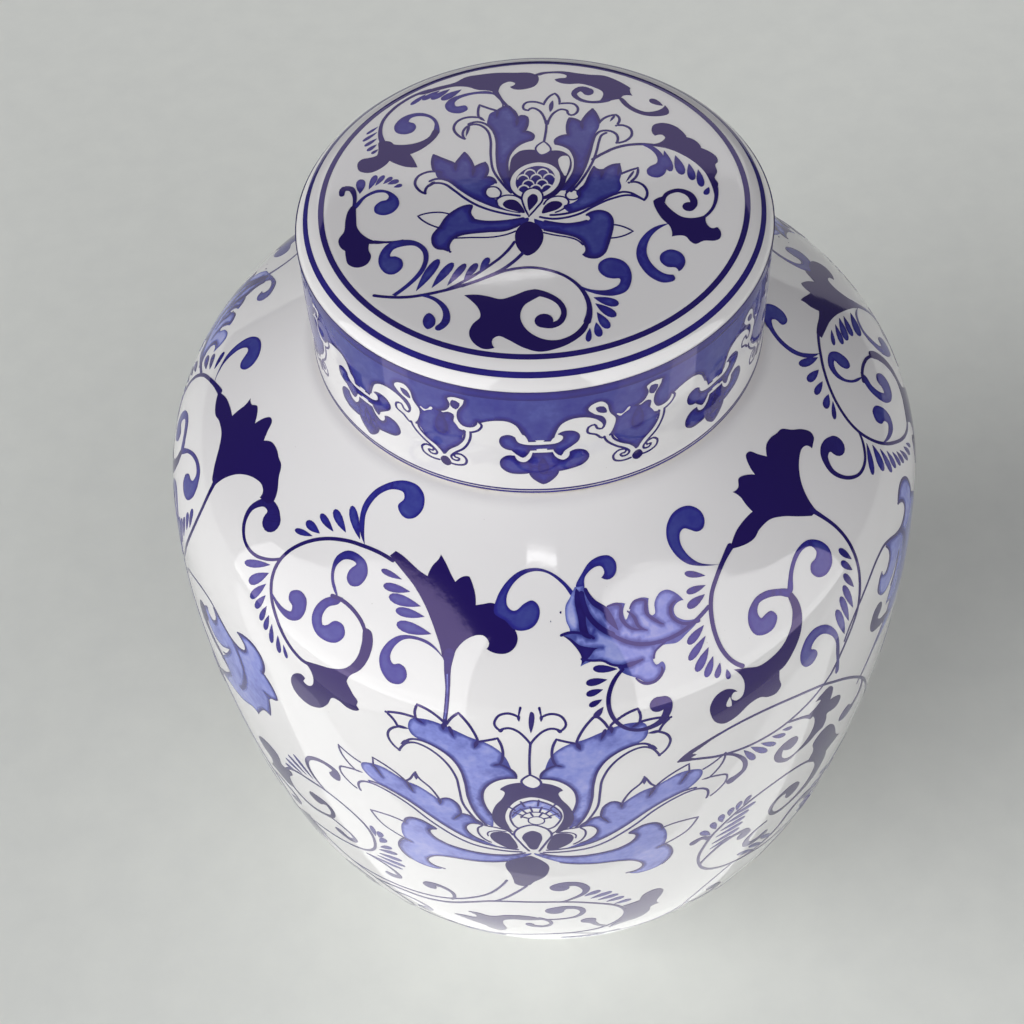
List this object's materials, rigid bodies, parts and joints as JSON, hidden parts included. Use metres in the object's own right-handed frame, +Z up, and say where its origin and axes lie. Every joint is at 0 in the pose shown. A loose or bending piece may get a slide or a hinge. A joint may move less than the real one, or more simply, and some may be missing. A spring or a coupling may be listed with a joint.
{
  "type": "ginger jar",
  "caption": "Round-shouldered porcelain ginger jar on a low foot ring, with a short neck under a flat cap lid that lifts off, painted all round in cobalt scrolls and flowers.",
  "frame": {"origin": "centre of the foot ring, on the surface that the jar stands on", "axes": "+Z up along the jar's axis of revolution; -Y is the front, where the large painted flower is; +X is to the right as seen from the front"},
  "size_m": [0.24, 0.24, 0.3115],
  "materials": {
    "jar_porcelain": "glossy clear glaze over white porcelain with cobalt underglaze painting",
    "lid_porcelain": "glossy clear glaze over white porcelain with cobalt underglaze painting"
  },
  "bodies": {
    "jar": {"jar_body": "jar_porcelain"},
    "cap_lid": {"lid": "lid_porcelain"}
  },
  "joints": [
    {"name": "lid_lift", "type": "slide", "parent": "jar", "child": "cap_lid", "axis": [0, 0, 1], "range_m": [0, 0.06]}
  ]
}
